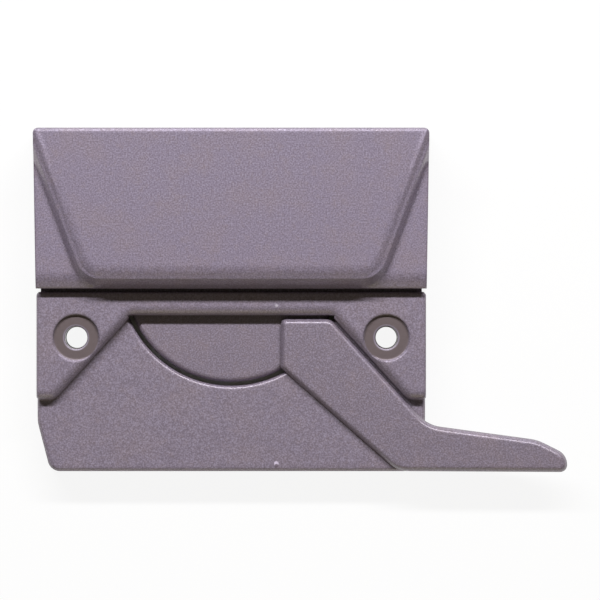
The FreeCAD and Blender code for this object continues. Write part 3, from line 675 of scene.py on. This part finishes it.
@dataclass
class Castings:
    """The three coated castings that show: the body, the hood and the lever.

    The paint on the body is a pale nib on the bridge. Near the front edge a small dome gets a painted
    highlight and a painted shade:
    a pale disc with a smaller dark one over its lower half.
    """

    nibs_and_painted_light: tuple[NibOrPaintedLight, ...] = (
        NibOrPaintedLight((8.82 * MM, 6.17 * MM, 10.0 * MM), 0.34 * MM, 0.75, srgb(206, 200, 212)),
        # The small dome near the front edge: a pale disc of painted highlight on its rear side and a
        # dark disc of painted shade on its front.
        NibOrPaintedLight((8.76 * MM, -24.55 * MM, 7.4 * MM), 0.56 * MM, 0.95, srgb(226, 214, 238)),
        NibOrPaintedLight((8.80 * MM, -24.94 * MM, 7.4 * MM), 0.46 * MM, 0.9, srgb(116, 102, 116)),
    )
    # Painted light and shade: the same coat, a little lighter on the hood and a little darker on the
    # lever, for how the lamp lights each.
    hood_tone_lit: Colour = srgb(143, 132, 152)
    lever_tone_shaded: Colour = srgb(136, 125, 140)
    hole_x: float = 30.1625 * MM
    seat_floor: float = 9.4 * MM
    seat_radius: float = 4.45 * MM

    def build(self) -> None:
        """Coats the castings; the hood's coat is painted a little lighter and the lever's a little
        darker than the body's, as painted light and shade.
        """
        seats = tuple(Seat((x, 0.0, self.seat_floor), self.seat_radius)
                      for x in (-self.hole_x, self.hole_x))
        body_coat = PowderCoat(nibs_and_painted_light=self.nibs_and_painted_light, seats=seats).make("powder_coat_on_body")
        hood_coat = PowderCoat(colour=self.hood_tone_lit).make("powder_coat_on_hood")
        lever_coat = PowderCoat(colour=self.lever_tone_shaded).make("powder_coat_on_lever")
        Casting("lock_body", Body.HOUSING).build(body_coat)
        Casting("hood", Body.HOUSING).build(hood_coat)
        Casting("lever", Body.LEVER).build(lever_coat)


@dataclass
class Mechanism:
    """The steel inside: base plate, stud, cam, washers and detent spring."""

    pivot: tuple[float, float] = (0.0, 12.2 * MM)
    plated: tuple[str, ...] = ("base_plate", "cam")
    turned: tuple[str, ...] = ("pivot_stud", "thrust_washer")
    sprung: tuple[str, ...] = ("spring_washer", "detent_spring")

    def build(self) -> None:
        """Dresses each steel piece."""
        finishes = (
            (self.plated, ZincPlate().make("bright_zinc")),
            (self.turned, TurnedSteel(centre=self.pivot).make("turned_steel_pivot")),
            (self.sprung, SpringSteel().make("blued_steel")),
        )
        for nodes, material in finishes:
            for node in nodes:
                dress(node, material)


@dataclass
class FlatScrew:
    """A flat screw that stands for its CAD node, with a cross recess cut into its head.

    Each arm of the recess reaches arm from the middle and lies half_width to both sides of its line.
    The recess narrows to the share foot at its depth, and its cutter starts mouth below the head.
    """

    node: str
    arm: float = 1.5 * MM
    half_width: float = 0.36 * MM
    depth: float = 1.1 * MM
    mouth: float = 0.05 * MM
    foot: float = 0.5
    smooth_below: float = math.radians(30.0)

    def build(self, steel: bpy.types.Material) -> None:
        """Makes the screw and puts it in the node's place.

        Args:
            steel: The finish that it gets.
        """
        piece = bpy.data.objects.new(f"{self.node}_flat", merged_mesh(self.node))
        bpy.context.scene.collection.objects.link(piece)
        mesh = self.recessed(piece)
        smooth(mesh, self.smooth_below)
        mesh.materials.clear()
        mesh.materials.append(steel)
        piece.data = mesh
        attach(piece, Body.HOUSING.value)
        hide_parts(self.node)
        LOG.info("%s has %d faces", piece.name, len(mesh.polygons))

    def recessed(self, piece: bpy.types.Object) -> bpy.types.Mesh:
        """Cuts the recess.

        Args:
            piece: The screw with its plain mesh.

        Returns:
            A new mesh with the recess.
        """
        cutter = bpy.data.objects.new("cross", self.cross())
        bpy.context.scene.collection.objects.link(cutter)
        cut = piece.modifiers.new("recess", "BOOLEAN")
        cut.object, cut.operation, cut.solver = cutter, "DIFFERENCE", "EXACT"
        graph = bpy.context.evaluated_depsgraph_get()
        mesh = bpy.data.meshes.new_from_object(piece.evaluated_get(graph))
        piece.modifiers.clear()
        bpy.data.objects.remove(cutter)
        return mesh

    def cross(self) -> bpy.types.Mesh:
        """Makes the tapered cross that cuts the recess, from just below the head up into it.

        Returns:
            The cross, in the screw's place.
        """
        half = self.half_width
        arm = np.array([(self.arm, -half), (self.arm, half), (half, half)])
        ring = np.concatenate([arm @ np.array([(cos, sin), (-sin, cos)])
                               for cos, sin in ((1, 0), (0, 1), (-1, 0), (0, -1))])
        count = len(ring)
        spots = np.concatenate([np.column_stack([ring, np.full(count, -self.mouth)]),
                                np.column_stack([ring * self.foot, np.full(count, self.depth)])])
        sides = [(i, (i + 1) % count, (i + 1) % count + count, i + count) for i in range(count)]
        ends = [tuple(range(count - 1, -1, -1)), tuple(range(count, 2 * count))]
        mesh = bpy.data.meshes.new("cross")
        mesh.from_pydata((spots + foot_of(self.node)).tolist(), [], sides + ends)
        return mesh


@dataclass
class Fasteners:
    """The rivet and the four flat screws under the base plate."""

    rivet: str = "spring_rivet"
    screws: tuple[str, ...] = ("hood_screw_left", "hood_screw_right",
                               "body_screw_left", "body_screw_right")

    def build(self) -> None:
        """Dresses the rivet and makes the screws, each with rings about its own axis."""
        dress(self.rivet, self.steel(self.rivet))
        for node in self.screws:
            FlatScrew(node).build(self.steel(node))

    @staticmethod
    def steel(node: str) -> bpy.types.Material:
        """Makes the steel for one fastener.

        Args:
            node: The node's name.

        Returns:
            The material, with its rings centred on the node.
        """
        return TurnedSteel(centre=foot_of(node)[:2]).make(f"turned_steel_{node}")


@dataclass(frozen=True)
class Lamp:
    """A flat lamp aimed at the lock.

    Azimuth is in degrees from +Y towards +X, elevation in degrees up and power in watts.
    """

    name: str
    azimuth: float
    elevation: float
    distance: float
    width: float
    height: float
    power: float
    colour: tuple[float, float, float]

    def build(self, centre: tuple[float, float]) -> None:
        """Makes the lamp.

        Args:
            centre: The place that it is aimed at, in metres.
        """
        data = bpy.data.lights.new(self.name, "AREA")
        data.energy = self.power
        data.shape = "RECTANGLE"
        data.size, data.size_y = self.width, self.height
        data.color = self.colour
        around, up = math.radians(self.azimuth), math.radians(self.elevation)
        lamp = bpy.data.objects.new(self.name, data)
        lamp.location = (centre[0] + self.distance * math.cos(up) * math.sin(around),
                         centre[1] + self.distance * math.cos(up) * math.cos(around),
                         self.distance * math.sin(up))
        lamp.rotation_euler = (math.pi / 2 - up, 0.0, math.pi - around)
        bpy.context.scene.collection.objects.link(lamp)


@dataclass
class Studio:
    """A pale floor, a dim world, a near lamp from the rear, a soft fill and a camera overhead.

    The lens and the sensor are in millimetres, and every other length is in metres.
    """

    centre: tuple[float, float] = (13.36 * MM, 7.30 * MM)
    lamp_aim: tuple[float, float] = (2.0 * MM, 7.30 * MM)
    view_width: float = 116.7 * MM
    focus_height: float = 8.0 * MM
    lens: float = 600.0
    sensor: float = 36.0
    clip: tuple[float, float] = (0.01, 20.0)
    floor_half: float = 6.0
    floor_level: float = -0.02 * MM
    floor_colour: Colour = (0.80, 0.74, 0.68, 1.0)
    floor_seen: Colour = (0.9, 0.9, 0.9, 1.0)
    floor_glow: float = 0.9
    world_colour: Colour = (0.074, 0.066, 0.05, 1.0)
    lamps: tuple[Lamp, ...] = (
        Lamp("key_lamp", azimuth=0.0, elevation=49.0, distance=0.6, width=0.75, height=0.045,
             power=5.75, colour=(0.995, 0.985, 1.0)),
        Lamp("fill_lamp", azimuth=180.0, elevation=18.0, distance=0.9, width=0.6, height=0.6,
             power=0.92, colour=(1.0, 0.91, 0.62)),
    )

    def build(self) -> None:
        """Makes the floor, the world, the lamps and the camera."""
        self.make_floor()
        self.make_world()
        for lamp in self.lamps:
            lamp.build(self.lamp_aim)
        self.make_camera()
        bpy.context.scene.view_settings.view_transform = "Standard"

    def make_floor(self) -> None:
        """Makes a wide level floor just under the lock; the camera sees it near white."""
        half = self.floor_half
        mesh = bpy.data.meshes.new("floor")
        corners = [(x, y, self.floor_level)
                   for x, y in ((-half, -half), (half, -half), (half, half), (-half, half))]
        mesh.from_pydata(corners, [], [(0, 1, 2, 3)])
        floor = bpy.data.objects.new("floor", mesh)
        bpy.context.scene.collection.objects.link(floor)
        material, tree = new_material("pale_floor")
        seen = self.seen_directly(tree)
        paper = tree.mix(seen, self.floor_colour, self.floor_seen)
        matt = tree.add("ShaderNodeBsdfDiffuse", inputs={"Color": paper})
        glow = tree.add("ShaderNodeEmission", inputs={"Color": WHITE, "Strength": 1.0})
        shader = tree.add("ShaderNodeMixShader", inputs={0: seen * self.floor_glow, 1: matt, 2: glow})
        tree.end("ShaderNodeOutputMaterial", shader)
        mesh.materials.append(material)

    @staticmethod
    def seen_directly(tree: Tree) -> Value:
        """1 for rays from the camera and for mirror and glass rays, else 0.

        Args:
            tree: The tree that gets the node.

        Returns:
            The mask.
        """
        camera = tree.add("ShaderNodeLightPath", output="Is Camera Ray")
        glossy = tree.add("ShaderNodeLightPath", output="Is Glossy Ray")
        through = tree.add("ShaderNodeLightPath", output="Is Transmission Ray")
        return camera.larger(glossy).larger(through)

    def make_world(self) -> None:
        """Makes an even dim world that lights the shaded sides."""
        world = bpy.data.worlds.new("studio")
        world.use_nodes = True
        bpy.context.scene.world = world
        tree = Tree(world.node_tree)
        sky = tree.add("ShaderNodeBackground", inputs={"Color": self.world_colour, "Strength": 1.0})
        tree.end("ShaderNodeOutputWorld", sky)

    def make_camera(self) -> None:
        """Makes a long-lens camera straight above that takes in view_width across."""
        data = bpy.data.cameras.new("camera")
        data.lens = self.lens
        data.sensor_width = self.sensor
        data.clip_start, data.clip_end = self.clip
        distance = self.view_width * self.lens / self.sensor
        camera = bpy.data.objects.new("camera", data)
        camera.location = (self.centre[0], self.centre[1], self.focus_height + distance)
        bpy.context.scene.collection.objects.link(camera)
        bpy.context.scene.camera = camera


def main() -> None:
    logging.basicConfig(level=logging.INFO, format="%(name)s: %(message)s")
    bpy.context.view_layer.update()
    for part in (Castings(), Mechanism(), Fasteners(), Studio()):
        part.build()
        LOG.info("%s built", type(part).__name__)


if __name__ == "__main__":
    main()
